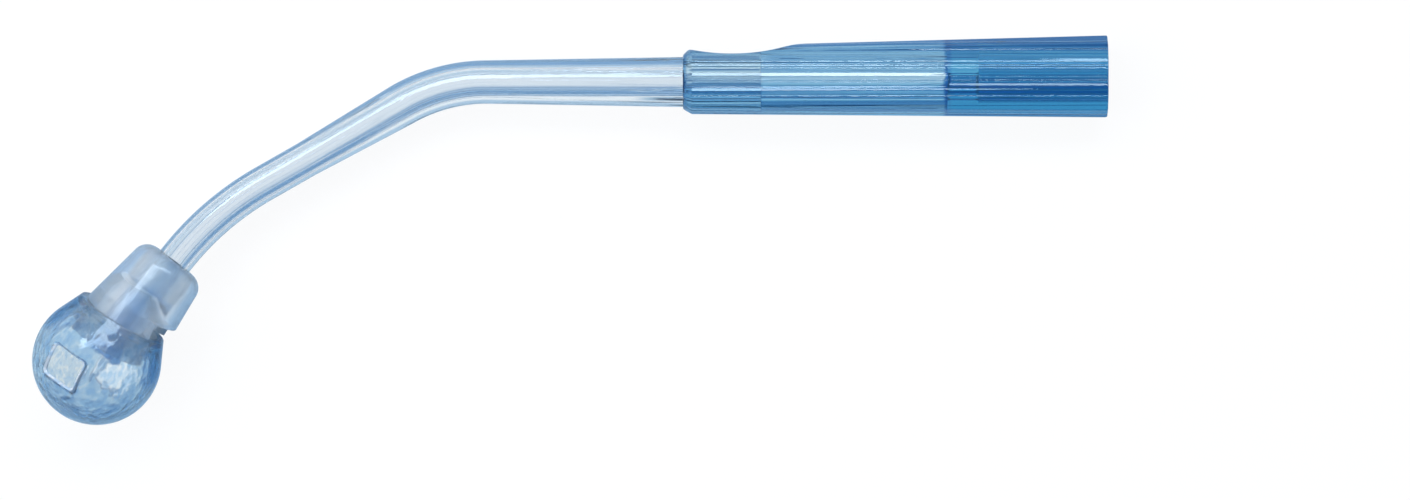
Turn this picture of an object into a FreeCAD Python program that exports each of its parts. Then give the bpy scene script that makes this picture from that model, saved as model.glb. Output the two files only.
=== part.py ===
import FreeCAD, Part
import math
import os

# Yankauer suction tip: a bent, thick-walled tube with a hollow ball at its end and a faceted handle.
# All lengths are in millimetres and all angles in degrees.
#
# The part is drawn first in its plan frame: the tube's leg in the handle lies along X, the open end
# of the handle points to +X, the bends turn towards -Y, and the bends lie in the plane Z = 0. It is
# then rolled about X until the ball and the handle both touch the floor, and set with the middle of
# the base of its bounding box at the origin.

V = FreeCAD.Vector
UP = V(0, 0, 1)

# The tube's route, from the handle to the ball
LEG_AT_HANDLE = 43.4
LEG_MIDDLE = 47.5
LEG_AT_BALL = 33.8
HANDLE_BEND_ANGLE = 29.7
BALL_BEND_ANGLE = 22.2
HANDLE_BEND_RADIUS = 30.6
BALL_BEND_RADIUS = 54.0

# The tube's section
TUBE_DIAMETER_AT_HANDLE = 9.0
TUBE_DIAMETER_AT_BEND = 7.8
TUBE_DIAMETER_AT_BALL = 6.5
TUBE_TAPER_AFTER_BEND = 20.0
TUBE_BORE_DIAMETER = 3.4
TUBE_END_ABOVE_BALL_CENTRE = 1.4

# The handle's outside. Heights are measured from the tube's axis.
HANDLE_LENGTH = 76.3
HANDLE_THICKNESS = 12.6
HANDLE_TOP_FRONT = 6.3
HANDLE_TOP_REAR = 8.35
HANDLE_BASE_FRONT = 5.75
HANDLE_BASE_REAR = 6.35
HANDLE_NOSE_LENGTH = 1.6
HANDLE_NOSE_HEIGHT = 4.9
SIDE_FLAT_ABOVE = 3.7
SIDE_FLAT_BELOW = 2.6
TOP_FLAT_HALF_WIDTH = 1.9
MIDDLE_CORNER_HEIGHT_SHARE = 0.68
MIDDLE_CORNER_WIDTH_SHARE = 0.62
CORNER_RADIUS = 0.7
THUMB_REST_LOWEST = 8.5
THUMB_REST_END = 21.5
THUMB_REST_DEPTH = 1.5

# The handle's bores
TUBE_SOCKET_DEPTH = 14.0
CHAMBER_DIAMETER = 7.2
CHAMBER_LENGTH = 33.5
THROAT_DIAMETER = 3.6
THROAT_LENGTH = 5.6
HOSE_BORE_DIAMETER = 6.3
HOSE_BORE_OFFSET = 0.7
BORE_CHAMFER = 0.5

# The ball. Its heights and angles are its own: height along its axis, and angle about it.
BALL_DIAMETER = 23.2
BALL_WALL = 1.4
BALL_RIM_DIAMETER = 17.0
BALL_RIM_STAND = 0.93
BALL_MOUTH_DIAMETER = 14.4
BALL_END_HOLE_DIAMETER = 4.2
BALL_LEAN_ANGLE = 6.5
BALL_TIP_UP_ANGLE = 8.0
EYE_COUNT = 2
EYE_FIRST_ANGLE = 68.0
EYE_WIDTH = 6.8
EYE_TOP = 0.6
EYE_BASE = -5.2
EYE_CORNER_RADIUS = 0.8

# The sleeve on the tube's end, and its spigot in the ball's mouth. Lengths are from the ball's rim.
SLEEVE_LENGTH = 13.5
SLEEVE_DIAMETER_AT_RIM = 16.6
SLEEVE_DIAMETER_AT_SHOULDER = 13.9
SLEEVE_SHOULDER_RADIUS = 3.0
SLEEVE_HOLLOW_DIAMETER = 11.6
FUNNEL_LENGTH = 3.6
PORT_ANGLE = 180.0
PORT_HALF_ANGLE = 39.0
PORT_HEIGHT = 2.8
SPIGOT_LENGTH = 5.8
GROOVE_COUNT = 3
GROOVE_PITCH = 1.6
GROOVE_WIDTH = 0.8
GROOVE_DEPTH = 0.35

# The clearance in each bonded joint, and how far a cutting shape runs past what it cuts
BOND_GAP = 0.05
OVERRUN = 1.0


def turned(direction, degrees):
    """A plan direction turned to the left by an angle."""
    a = math.radians(degrees)
    c, s = math.cos(a), math.sin(a)
    return V(direction.x * c - direction.y * s, direction.x * s + direction.y * c, 0)


def frame_along(origin, axis):
    """A local frame with Z along an axis, Y as near to up as it can be and X to the left."""
    left = UP.cross(axis).normalize()
    return FreeCAD.Placement(origin, FreeCAD.Rotation(left, axis.cross(left), axis, "ZXY"))


# Places along the tube's route, which starts at the handle's nose and runs towards -X
NOSE = V(0, 0, 0)
TOWARDS_TIP = V(-1, 0, 0)
MIDDLE_DIRECTION = turned(TOWARDS_TIP, HANDLE_BEND_ANGLE)
BALL_DIRECTION = turned(MIDDLE_DIRECTION, BALL_BEND_ANGLE)
CORNER_NEAR_HANDLE = NOSE + TOWARDS_TIP * LEG_AT_HANDLE
CORNER_NEAR_BALL = CORNER_NEAR_HANDLE + MIDDLE_DIRECTION * LEG_MIDDLE
BALL_CENTRE = CORNER_NEAR_BALL + BALL_DIRECTION * LEG_AT_BALL

# Heights from the ball's centre. The edge of its rim stands out of the sphere by BALL_RIM_STAND.
BALL_RIM_HEIGHT = math.sqrt((BALL_DIAMETER / 2 + BALL_RIM_STAND) ** 2 - (BALL_RIM_DIAMETER / 2) ** 2)
SLEEVE_TOP_HEIGHT = BALL_RIM_HEIGHT + SLEEVE_LENGTH
SPIGOT_END_HEIGHT = BALL_RIM_HEIGHT - SPIGOT_LENGTH

# The sleeve lies along the tube's last leg. The ball leans from it, sideways and upwards.
SLEEVE_AXIS = BALL_DIRECTION * -1
TIP_UP = math.radians(BALL_TIP_UP_ANGLE)
BALL_AXIS = turned(SLEEVE_AXIS, BALL_LEAN_ANGLE) * math.cos(TIP_UP) + UP * math.sin(TIP_UP)
SLEEVE_FRAME = frame_along(BALL_CENTRE, SLEEVE_AXIS)
BALL_FRAME = frame_along(BALL_CENTRE, BALL_AXIS)


def placed(shape, frame):
    """A copy of a shape that was drawn in a local frame, moved to that frame's place."""
    moved = shape.copy()
    moved.Placement = frame.multiply(moved.Placement)
    return moved


def cone(diameter_start, diameter_end, start, end):
    """A straight round rod that changes evenly from one diameter to another."""
    run = end - start
    if diameter_start == diameter_end:
        return Part.makeCylinder(diameter_start / 2, run.Length, start, run)
    return Part.makeCone(diameter_start / 2, diameter_end / 2, run.Length, start, run)


def rod(diameter, start, end):
    """A straight round rod between two points."""
    return cone(diameter, diameter, start, end)


def round_wire(points, radius):
    """A closed wire through the points, with each corner rounded by a tangent arc."""
    rounds = []
    for i, corner in enumerate(points):
        back = (points[i - 1] - corner).normalize()
        ahead = (points[(i + 1) % len(points)] - corner).normalize()
        half = back.getAngle(ahead) / 2
        reach = radius / math.tan(half)
        middle = corner + (back + ahead).normalize() * (radius / math.sin(half) - radius)
        rounds.append((corner + back * reach, middle, corner + ahead * reach))
    edges = []
    for i, (start, middle, end) in enumerate(rounds):
        edges.append(Part.Arc(start, middle, end).toShape())
        edges.append(Part.LineSegment(end, rounds[(i + 1) % len(rounds)][0]).toShape())
    return Part.Wire(edges)


def bend_reach(bend_radius, turn):
    """The length that a bend takes up of each leg, from the corner to the bend's end."""
    return bend_radius * math.tan(math.radians(turn) / 2)


def bend(diameter, corner, into, bend_radius, turn):
    """A round rod that comes to a corner along a plan direction and turns left about it."""
    start = corner - into * bend_reach(bend_radius, turn)
    centre = start + turned(into, 90) * bend_radius
    section = Part.Face(Part.Wire(Part.makeCircle(diameter / 2, start, into)))
    return section.revolve(centre, UP, turn)


def route_rod(at_handle, at_bend, at_ball, start, end):
    """A solid rod along the tube's route between two end points, with the diameter at each leg."""
    reach_one = bend_reach(HANDLE_BEND_RADIUS, HANDLE_BEND_ANGLE)
    reach_two = bend_reach(BALL_BEND_RADIUS, BALL_BEND_ANGLE)
    bend_one_start = CORNER_NEAR_HANDLE - TOWARDS_TIP * reach_one
    bend_one_end = CORNER_NEAR_HANDLE + MIDDLE_DIRECTION * reach_one
    taper_end = bend_one_end + MIDDLE_DIRECTION * TUBE_TAPER_AFTER_BEND
    bend_two_start = CORNER_NEAR_BALL - MIDDLE_DIRECTION * reach_two
    bend_two_end = CORNER_NEAR_BALL + BALL_DIRECTION * reach_two
    lengths = [
        rod(at_handle, start, NOSE),
        cone(at_handle, at_bend, NOSE, bend_one_start),
        bend(at_bend, CORNER_NEAR_HANDLE, TOWARDS_TIP, HANDLE_BEND_RADIUS, HANDLE_BEND_ANGLE),
        cone(at_bend, at_ball, bend_one_end, taper_end),
        rod(at_ball, taper_end, bend_two_start),
        bend(at_ball, CORNER_NEAR_BALL, MIDDLE_DIRECTION, BALL_BEND_RADIUS, BALL_BEND_ANGLE),
        rod(at_ball, bend_two_end, end),
    ]
    return lengths[0].multiFuse(lengths[1:])


def suction_tube():
    """The bent tube, from its seat in the handle to its open end inside the ball."""
    seat = NOSE - TOWARDS_TIP * TUBE_SOCKET_DEPTH
    tip = BALL_CENTRE - BALL_DIRECTION * TUBE_END_ABOVE_BALL_CENTRE
    outside = route_rod(TUBE_DIAMETER_AT_HANDLE, TUBE_DIAMETER_AT_BEND, TUBE_DIAMETER_AT_BALL, seat, tip)
    bore = route_rod(TUBE_BORE_DIAMETER, TUBE_BORE_DIAMETER, TUBE_BORE_DIAMETER,
                     seat - TOWARDS_TIP * OVERRUN, tip + BALL_DIRECTION * OVERRUN)
    return outside.cut(bore)


def handle_top(x):
    """The height of the handle's top line at a distance from its nose."""
    return HANDLE_TOP_FRONT + (HANDLE_TOP_REAR - HANDLE_TOP_FRONT) * x / HANDLE_LENGTH


def handle_base(x):
    """The depth of the handle's base line at a distance from its nose."""
    return HANDLE_BASE_FRONT + (HANDLE_BASE_REAR - HANDLE_BASE_FRONT) * x / HANDLE_LENGTH


def handle_section(x, top, base, half_thickness):
    """The handle's outline across X: twelve flats with rounded corners between them."""
    def quarter(height, flat, up, side):
        mid_height = flat + (height - flat) * MIDDLE_CORNER_HEIGHT_SHARE
        mid_width = TOP_FLAT_HALF_WIDTH
        mid_width += (half_thickness - TOP_FLAT_HALF_WIDTH) * MIDDLE_CORNER_WIDTH_SHARE
        return [V(x, up * height, side * TOP_FLAT_HALF_WIDTH), V(x, up * mid_height, side * mid_width),
                V(x, up * flat, side * half_thickness)]
    corners = quarter(top, SIDE_FLAT_ABOVE, 1, 1)
    corners += quarter(base, SIDE_FLAT_BELOW, -1, 1)[::-1]
    corners += quarter(base, SIDE_FLAT_BELOW, -1, -1)
    corners += quarter(top, SIDE_FLAT_ABOVE, 1, -1)[::-1]
    return round_wire(corners, CORNER_RADIUS)


def thumb_rest_space():
    """The space above the thumb rest: down a gentle curve from the nose, then up an S to the top."""
    floor = handle_top(THUMB_REST_LOWEST) - THUMB_REST_DEPTH
    brow = HANDLE_TOP_REAR + OVERRUN
    side = -HANDLE_THICKNESS
    rise = THUMB_REST_END - THUMB_REST_LOWEST
    front = V(-OVERRUN, handle_top(-OVERRUN), side)
    lowest = V(THUMB_REST_LOWEST, floor, side)
    end = V(THUMB_REST_END, handle_top(THUMB_REST_END), side)
    down = Part.BezierCurve()
    down.setPoles([front, V(0.35 * THUMB_REST_LOWEST, floor + 0.2 * THUMB_REST_DEPTH, side),
                   V(0.7 * THUMB_REST_LOWEST, floor, side), lowest])
    up = Part.BezierCurve()
    near_end = THUMB_REST_END - 0.25 * rise
    up.setPoles([lowest, V(THUMB_REST_LOWEST + 0.6 * rise, floor, side),
                 V(near_end, handle_top(near_end), side), end])
    over = Part.makePolygon([end, V(end.x, brow, side), V(front.x, brow, side), front])
    outline = Part.Wire([down.toShape(), up.toShape()] + over.Edges)
    return Part.Face(outline).extrude(UP * (2 * HANDLE_THICKNESS))


def bore_space(diameter, start_x, end_x, height):
    """A round bore along X with a small chamfer at each end, at a height from the tube's axis."""
    start, end = V(start_x, height, 0), V(end_x, height, 0)
    wide = diameter + 2 * BORE_CHAMFER
    step = V(BORE_CHAMFER, 0, 0)
    return rod(diameter, start, end).multiFuse([
        cone(wide, diameter, start, start + step), cone(diameter, wide, end - step, end)])


def handle():
    """The handle: its faceted outside, thumb rest, tube socket, chamber, throat and hose bore."""
    half = HANDLE_THICKNESS / 2
    nose_end = HANDLE_NOSE_LENGTH
    nose = Part.makeLoft([
        handle_section(0, HANDLE_NOSE_HEIGHT, HANDLE_NOSE_HEIGHT, half - HANDLE_NOSE_LENGTH),
        handle_section(nose_end, handle_top(nose_end), handle_base(nose_end), half)], True, True)
    barrel = Part.makeLoft([
        handle_section(nose_end, handle_top(nose_end), handle_base(nose_end), half),
        handle_section(HANDLE_LENGTH, HANDLE_TOP_REAR, HANDLE_BASE_REAR, half)], True, True)
    chamber_end = TUBE_SOCKET_DEPTH + CHAMBER_LENGTH
    throat_end = chamber_end + THROAT_LENGTH
    socket = rod(TUBE_DIAMETER_AT_HANDLE + 2 * BOND_GAP, V(-OVERRUN, 0, 0), V(TUBE_SOCKET_DEPTH, 0, 0))
    chamber = rod(CHAMBER_DIAMETER, V(TUBE_SOCKET_DEPTH, 0, 0), V(chamber_end, 0, 0))
    throat = bore_space(THROAT_DIAMETER, chamber_end, throat_end, 0)
    hose_bore = rod(HOSE_BORE_DIAMETER, V(throat_end, HOSE_BORE_OFFSET, 0),
                    V(HANDLE_LENGTH + OVERRUN, HOSE_BORE_OFFSET, 0))
    body = nose.fuse(barrel).cut(thumb_rest_space())
    return body.cut(socket.multiFuse([chamber, throat, hose_bore]))


def ball_rim_tangent():
    """Where the straight side below the ball's rim meets the sphere, as (radius, height)."""
    radius, rim = BALL_DIAMETER / 2, BALL_RIM_DIAMETER / 2
    angle = math.atan2(BALL_RIM_HEIGHT, rim) - math.acos(radius / math.hypot(rim, BALL_RIM_HEIGHT))
    return radius * math.cos(angle), radius * math.sin(angle)


def spherical_shell():
    """The ball's wall: a sphere drawn up to the rim outside, and a round cavity with a mouth."""
    outer = BALL_DIAMETER / 2
    tangent_radius, tangent_height = ball_rim_tangent()
    tangent_angle = math.degrees(math.asin(tangent_height / outer))
    below = Part.makeSphere(outer, V(0, 0, 0), UP, -90, tangent_angle, 360)
    neck = cone(2 * tangent_radius, BALL_RIM_DIAMETER, UP * tangent_height, UP * BALL_RIM_HEIGHT)
    mouth = rod(BALL_MOUTH_DIAMETER, V(0, 0, 0), UP * (BALL_RIM_HEIGHT + OVERRUN))
    cavity = Part.makeSphere(outer - BALL_WALL)
    return below.fuse(neck).cut(cavity).cut(mouth)


def eye_space(angle):
    """The space of one eye: a rounded rectangle carried outwards through the ball's wall."""
    inner = BALL_DIAMETER / 4
    half = EYE_WIDTH / 2
    corners = [V(inner, -half, EYE_BASE), V(inner, half, EYE_BASE),
               V(inner, half, EYE_TOP), V(inner, -half, EYE_TOP)]
    prism = Part.Face(round_wire(corners, EYE_CORNER_RADIUS)).extrude(V(BALL_DIAMETER / 2, 0, 0))
    prism.rotate(V(0, 0, 0), UP, angle)
    return prism


def tip_ball():
    """The hollow ball, with its mouth, end hole and eyes."""
    end_hole = rod(BALL_END_HOLE_DIAMETER, V(0, 0, 0), UP * -(BALL_DIAMETER / 2 + OVERRUN))
    eyes = [eye_space(EYE_FIRST_ANGLE + i * 360 / EYE_COUNT) for i in range(EYE_COUNT)]
    return placed(spherical_shell().cut(end_hole.multiFuse(eyes)), BALL_FRAME)


def sleeve_bell():
    """The sleeve's bell, turned about its axis: a long taper that ends in a rounded shoulder."""
    rim, shoulder = SLEEVE_DIAMETER_AT_RIM / 2, SLEEVE_DIAMETER_AT_SHOULDER / 2
    round_start = SLEEVE_TOP_HEIGHT - SLEEVE_SHOULDER_RADIUS
    slope = (rim - shoulder) / (round_start - BALL_RIM_HEIGHT)
    top_radius = shoulder - SLEEVE_SHOULDER_RADIUS
    slant = SLEEVE_SHOULDER_RADIUS * math.sqrt(0.5)
    centre, foot = V(0, 0, 0), V(rim + slope * BALL_RIM_HEIGHT, 0, 0)
    round_low = V(shoulder, 0, round_start)
    round_middle = V(top_radius + slant, 0, round_start + slant)
    round_high = V(top_radius, 0, SLEEVE_TOP_HEIGHT)
    outline = Part.Wire([
        Part.makeLine(centre, foot), Part.makeLine(foot, round_low),
        Part.Arc(round_low, round_middle, round_high).toShape(),
        Part.makeLine(round_high, UP * SLEEVE_TOP_HEIGHT), Part.makeLine(UP * SLEEVE_TOP_HEIGHT, centre)])
    return Part.Face(outline).revolve(centre, UP, 360)


def port_space():
    """The space of the side port: a sector of a disc that stands on the ball's rim."""
    disc = Part.makeCylinder(BALL_DIAMETER / 2, PORT_HEIGHT, UP * BALL_RIM_HEIGHT, UP, 2 * PORT_HALF_ANGLE)
    disc.rotate(V(0, 0, 0), UP, PORT_ANGLE - PORT_HALF_ANGLE)
    return disc


def spigot():
    """The spigot that the ball's mouth is bonded to, with ring grooves below the mouth."""
    diameter = BALL_MOUTH_DIAMETER - 2 * BOND_GAP
    body = rod(diameter, UP * SPIGOT_END_HEIGHT, UP * BALL_RIM_HEIGHT)
    grooves = []
    for i in range(GROOVE_COUNT):
        base = UP * (SPIGOT_END_HEIGHT + GROOVE_PITCH * (i + 0.5))
        ring = rod(diameter + OVERRUN, base, base + UP * GROOVE_WIDTH)
        grooves.append(ring.cut(rod(diameter - 2 * GROOVE_DEPTH, base, base + UP * GROOVE_WIDTH)))
    return body.cut(grooves[0].multiFuse(grooves[1:]))


def tip_sleeve():
    """The sleeve: its bell on the tube's end, its side port, its spigot in the ball's mouth and the
    hollow up the middle, which ends in a funnel at the tube."""
    below_rim = rod(2 * BALL_DIAMETER, UP * -BALL_DIAMETER, UP * BALL_RIM_HEIGHT)
    funnel_base = UP * (BALL_RIM_HEIGHT + PORT_HEIGHT)
    hollow = rod(SLEEVE_HOLLOW_DIAMETER, UP * (SPIGOT_END_HEIGHT - OVERRUN), funnel_base)
    funnel = cone(SLEEVE_HOLLOW_DIAMETER, TUBE_DIAMETER_AT_BALL,
                  funnel_base, funnel_base + UP * FUNNEL_LENGTH)
    bell = placed(sleeve_bell(), SLEEVE_FRAME).cut(placed(below_rim, BALL_FRAME))
    body = bell.fuse(placed(spigot(), BALL_FRAME))
    tube_socket = rod(TUBE_DIAMETER_AT_BALL + 2 * BOND_GAP, V(0, 0, 0), UP * (SLEEVE_TOP_HEIGHT + OVERRUN))
    space = hollow.multiFuse([port_space(), funnel])
    return body.cut(placed(space, BALL_FRAME)).cut(placed(tube_socket, SLEEVE_FRAME))


def resting_roll():
    """The roll about X at which the ball and the handle's lower rear corner are equally low."""
    corner_height = SIDE_FLAT_ABOVE
    corner_depth = HANDLE_THICKNESS / 2 - CORNER_RADIUS
    across = corner_height - BALL_CENTRE.y
    drop = CORNER_RADIUS - BALL_DIAMETER / 2
    lean = math.asin(drop / math.hypot(across, corner_depth))
    return math.degrees(lean + math.atan2(corner_depth, across))


def main():
    os.makedirs("parts", exist_ok=True)
    nodes = {"suction_tube": suction_tube(), "handle": handle(),
             "tip_sleeve": tip_sleeve(), "tip_ball": tip_ball()}
    roll = FreeCAD.Placement(V(0, 0, 0), FreeCAD.Rotation(V(1, 0, 0), resting_roll()))
    for name in nodes:
        nodes[name] = placed(nodes[name], roll)
    box = Part.makeCompound(list(nodes.values())).optimalBoundingBox(False, False)
    rest = V(-(box.XMin + box.XMax) / 2, -(box.YMin + box.YMax) / 2, -box.ZMin)
    for name, shape in nodes.items():
        solid = placed(shape, FreeCAD.Placement(rest, FreeCAD.Rotation()))
        solid.exportStep("parts/" + name + ".step")
        print(name, "solids", len(solid.Solids), "valid", solid.isValid(), "mm3", round(solid.Volume, 1))
    mouth = roll.multVec(V(HANDLE_LENGTH, HOSE_BORE_OFFSET, 0)) + rest
    print("hose bore mouth", [round(c, 4) for c in mouth], "roll", round(resting_roll(), 3))
    print("size", round(box.XLength, 2), round(box.YLength, 2), round(box.ZLength, 2))


main()
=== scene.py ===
"""A yankauer suction tip of clear blue styrene resin, lying on a pale table.

Lengths are in millimetres and angles in radians, in the plan frame of the bends, until laid_down()
turns them into the row's frame. In the plan frame the tube's leg in the handle lies along X, the open
end of the handle points to +X, the bends turn towards -Y, and Z is the normal of the bends' plane.
"""
import math

import bpy
import numpy as np
from mathutils import Matrix, Vector

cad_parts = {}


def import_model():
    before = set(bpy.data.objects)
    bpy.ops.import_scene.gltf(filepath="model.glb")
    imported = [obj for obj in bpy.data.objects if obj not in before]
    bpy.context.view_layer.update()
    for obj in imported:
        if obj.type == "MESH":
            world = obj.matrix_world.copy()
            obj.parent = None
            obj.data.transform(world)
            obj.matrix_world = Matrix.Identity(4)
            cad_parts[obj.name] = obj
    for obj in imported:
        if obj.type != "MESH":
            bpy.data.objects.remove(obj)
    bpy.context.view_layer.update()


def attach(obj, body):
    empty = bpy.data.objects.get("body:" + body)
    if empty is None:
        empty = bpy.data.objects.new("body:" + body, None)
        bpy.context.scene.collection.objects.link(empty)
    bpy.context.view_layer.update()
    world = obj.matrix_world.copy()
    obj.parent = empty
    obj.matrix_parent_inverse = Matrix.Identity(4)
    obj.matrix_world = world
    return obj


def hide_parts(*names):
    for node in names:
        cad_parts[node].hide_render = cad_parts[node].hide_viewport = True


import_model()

MM = 0.001
FULL_TURN = 2 * math.pi
SHARP_EDGE = math.radians(35)

# The picture's frame in pixels, the size of one, and the pixel that the plan's origin is on
FRAME_WIDTH, FRAME_HEIGHT, MM_PER_PIXEL, ORIGIN_X, ORIGIN_Y = 1410, 500, 0.18, 683, 82

# The plan frame's place in the row's frame: a roll about X, then a shift
ROLL = math.radians(-5.6795)
SHIFT = np.array([20.4079, 26.5019, 6.6387])

# The tube
LEG_AT_HANDLE, LEG_MIDDLE, LEG_AT_BALL = 43.4, 47.5, 33.8
HANDLE_BEND_ANGLE, BALL_BEND_ANGLE = math.radians(29.7), math.radians(22.2)
HANDLE_BEND_RADIUS, BALL_BEND_RADIUS = 30.6, 54.0
TUBE_RADIUS_AT_HANDLE, TUBE_RADIUS_AT_BEND, TUBE_RADIUS_AT_BALL = 4.5, 3.9, 3.25
TUBE_TAPER = 20.0
TUBE_BORE_RADIUS = 1.7
TUBE_SOCKET_DEPTH = 14.0
TUBE_END_ABOVE_BALL = 1.4
TUBE_END_ROUND = 0.12

# The handle
HANDLE_LENGTH, HANDLE_HALF_THICKNESS = 76.3, 6.3
TOP_FRONT, TOP_REAR, BASE_FRONT, BASE_REAR = 6.3, 8.35, 5.75, 6.35
NOSE_LENGTH, NOSE_HEIGHT = 1.6, 4.9
SIDE_FLAT_ABOVE, SIDE_FLAT_BELOW, TOP_FLAT_HALF_WIDTH = 3.7, 2.6, 1.9
MIDDLE_HEIGHT_SHARE, MIDDLE_WIDTH_SHARE = 0.68, 0.62
THUMB_LOWEST, THUMB_END, THUMB_DEPTH = 8.5, 21.5, 1.5
SOCKET_RADIUS, CHAMBER_RADIUS, THROAT_RADIUS, HOSE_BORE_RADIUS = 4.45, 3.6, 1.8, 3.15
CHAMBER_END, THROAT_END, HOSE_BORE_OFFSET, CHAMFER = 47.5, 53.1, 0.7, 0.5
# How far the outside is set in at its first two stations and at its last two
NOSE_EDGE, REAR_EDGE = (0.25, 0.08), (0.06, 0.25)
BORE_EDGE, SOCKET_FLARE, SOCKET_FLARE_DEPTH = 0.15, 0.4, 0.5
# Lengthwise moulding lines of the handle, each as the angle from the side, the height, the half width
# in radians, and the part of the handle that it runs along. Negative heights are grooves.
WHOLE, FRONT, REAR = (0, HANDLE_LENGTH + 1), (0, CHAMBER_END), (CHAMBER_END, HANDLE_LENGTH + 1)
LINES = [(-0.48, -0.1, 0.022, WHOLE), (-0.34, 0.2, 0.1, WHOLE), (-0.143, 0.17, 0.1, FRONT),
         (0.012, -0.1, 0.022, FRONT), (-0.17, -0.12, 0.03, REAR), (0.12, 0.12, 0.06, REAR),
         (0.27, 0.12, 0.07, WHOLE), (0.39, -0.1, 0.022, WHOLE), (math.pi, 0.12, 0.07, WHOLE)]
LINE_FADE = 1.0

# The ball and the sleeve. Heights are from the ball's centre.
BALL_RADIUS, CAVITY_RADIUS = 11.6, 10.2
RIM_RADIUS, RIM_HEIGHT, MOUTH_RADIUS, END_HOLE_RADIUS = 8.5, 9.205, 7.2, 2.1
BALL_LEAN, BALL_TIP_UP = math.radians(6.5), math.radians(8.0)
EYE_COUNT, EYE_FIRST = 2, math.radians(68)
EYE_HALF_WIDTH, EYE_TOP, EYE_BASE, EYE_CORNER = 3.4, 0.6, -5.2, 0.8
SLEEVE_TOP, SLEEVE_RIM_RADIUS, SLEEVE_SHOULDER_RADIUS, SHOULDER_ROUND = 22.705, 8.3, 6.95, 3.0
HOLLOW_RADIUS, FUNNEL_LENGTH, SLEEVE_SOCKET_RADIUS = 5.8, 3.6, 3.2
SLEEVE_SOCKET_RINGS, FOOT_BELOW_RIM = (SLEEVE_TOP, 18.0, 15.0), 0.05
PORT_ANGLE, PORT_HALF, PORT_HEIGHT = math.pi, math.radians(39), 2.8
SPIGOT_RADIUS, SPIGOT_END = 7.25, 3.405
GROOVE_COUNT, GROOVE_PITCH, GROOVE_WIDTH, GROOVE_DEPTH = 3, 1.6, 0.8, 0.35


def laid_down(points):
    """Points from the plan frame in mm, rolled and shifted into the row's frame in metres."""
    c, s = math.cos(ROLL), math.sin(ROLL)
    turn = np.array([[1, 0, 0], [0, c, -s], [0, s, c]])
    return (np.asarray(points, float) @ turn.T + SHIFT) * MM


def signed_volume(points, quads):
    """Six times the volume inside quads that close a surface; negative if they face inwards."""
    a, b, c, d = (points[quads[:, i]] for i in range(4))
    return np.einsum("ij,ij->", a, np.cross(b, c)) + np.einsum("ij,ij->", a, np.cross(c, d))


def finished(name, points, quads, run, solid, edge=0.0, bond=0.0):
    """One piece from plan points and quads, smooth but for its sharp edges, in the place of a solid. Its
    attribute "run" holds each point's place in mm as if the piece were straight: along it, and the two
    across. "edge" is 1 where the surface is frosted, as at a cut edge, and "bond" is 1 where solvent has
    bonded the surface to its neighbour's."""
    places = laid_down(points)
    if signed_volume(places, quads) < 0:
        quads = quads[:, [1, 0, 3, 2]]
    mesh = bpy.data.meshes.new(name)
    mesh.vertices.add(len(places))
    mesh.vertices.foreach_set("co", places.ravel())
    corners = np.where(quads[:, 3] == quads[:, 2], 3, 4)
    used = np.arange(4)[None, :] < corners[:, None]
    mesh.loops.add(int(corners.sum()))
    mesh.loops.foreach_set("vertex_index", quads[used].astype(np.int32))
    mesh.polygons.add(len(quads))
    mesh.polygons.foreach_set("loop_start", (np.cumsum(corners) - corners).astype(np.int32))
    mesh.update(calc_edges=True)
    mesh.validate()
    straight = mesh.attributes.new("run", "FLOAT_VECTOR", "POINT")
    straight.data.foreach_set("vector", np.asarray(run, np.float32).ravel())
    for mark, share in (("edge", edge), ("bond", bond)):
        marked = mesh.attributes.new(mark, "FLOAT", "POINT")
        marked.data.foreach_set("value", np.broadcast_to(np.asarray(share, np.float32), len(places)).copy())
    mesh.shade_smooth()
    mesh.set_sharp_from_angle(angle=SHARP_EDGE)
    piece = bpy.data.objects.new(name, mesh)
    bpy.context.scene.collection.objects.link(piece)
    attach(piece, "root")
    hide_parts(solid)
    return piece


def ring_quads(rings, per_ring, closed_along):
    """Quads that join neighbouring rings of points, each ring closed on itself. If closed_along, the
    last ring also joins the first."""
    i = np.arange(rings if closed_along else rings - 1)[:, None]
    j = np.arange(per_ring)[None, :]
    nxt, side = (i + 1) % rings * per_ring, (j + 1) % per_ring
    here = i * per_ring
    return np.stack([here + j, here + side, nxt + side, nxt + j], -1).reshape(-1, 4)


def route(reach):
    """The centre line at distances from the nose, measured along the tube towards the ball, as
    (place, direction angle). It is straight, an arc, straight, an arc, and straight again."""
    one = HANDLE_BEND_RADIUS * math.tan(HANDLE_BEND_ANGLE / 2)
    two = BALL_BEND_RADIUS * math.tan(BALL_BEND_ANGLE / 2)
    lengths = [LEG_AT_HANDLE - one, HANDLE_BEND_RADIUS * HANDLE_BEND_ANGLE, LEG_MIDDLE - one - two,
               BALL_BEND_RADIUS * BALL_BEND_ANGLE]
    ends = np.cumsum(lengths)
    turn = (np.clip((reach - ends[0]) / lengths[1], 0, 1) * HANDLE_BEND_ANGLE
            + np.clip((reach - ends[2]) / lengths[3], 0, 1) * BALL_BEND_ANGLE)

    def arc(begin, length, radius, start_turn):
        a = np.clip((reach - begin) / length, 0, 1) * length / radius + start_turn
        return radius * (np.sin(start_turn) - np.sin(a)), radius * (np.cos(a) - np.cos(start_turn))

    def straight(begin, length, a):
        run = np.clip(reach - begin, 0, length)
        return -run * math.cos(a), -run * math.sin(a)

    both = HANDLE_BEND_ANGLE + BALL_BEND_ANGLE
    first = (-np.minimum(reach, lengths[0]), 0 * reach)
    parts = [first, arc(ends[0], lengths[1], HANDLE_BEND_RADIUS, 0.0),
             straight(ends[1], lengths[2], HANDLE_BEND_ANGLE),
             arc(ends[2], lengths[3], BALL_BEND_RADIUS, HANDLE_BEND_ANGLE), straight(ends[3], 1e3, both)]
    place = np.stack([sum(p[0] for p in parts), sum(p[1] for p in parts), 0 * reach], -1)
    return place, turn, ends


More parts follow.
